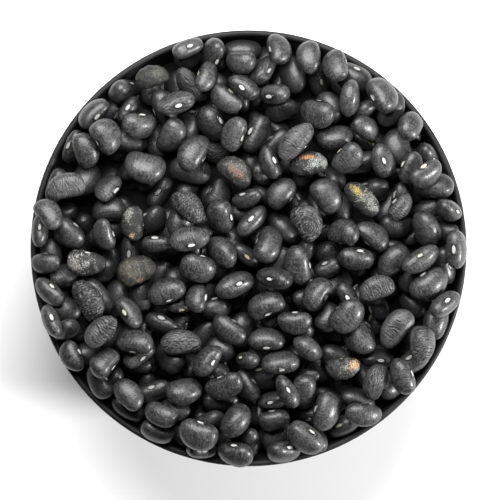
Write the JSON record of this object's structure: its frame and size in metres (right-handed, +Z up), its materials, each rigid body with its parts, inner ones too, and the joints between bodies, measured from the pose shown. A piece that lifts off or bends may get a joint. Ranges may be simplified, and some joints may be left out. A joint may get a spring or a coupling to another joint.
{
  "type": "bowl of dried beans",
  "caption": "Round dark stoneware bowl on a foot ring, heaped over its thin lip with dried black turtle beans.",
  "frame": {"origin": "centre of the foot ring's resting face, on the surface that the bowl stands on", "axes": "+Z up along the bowl's axis; +Y is the top of the picture and +X its right"},
  "size_m": [0.12, 0.12, 0.063],
  "materials": {
    "glazed_stoneware": "charcoal glaze with a soft sheen, bare clay on the foot ring",
    "bean_coat": "dry seed coat, near black with a fine grain and a dull sheen, white eyes"
  },
  "bodies": {
    "root": {"bowl": "glazed_stoneware", "beans": "bean_coat"}
  },
  "joints": []
}
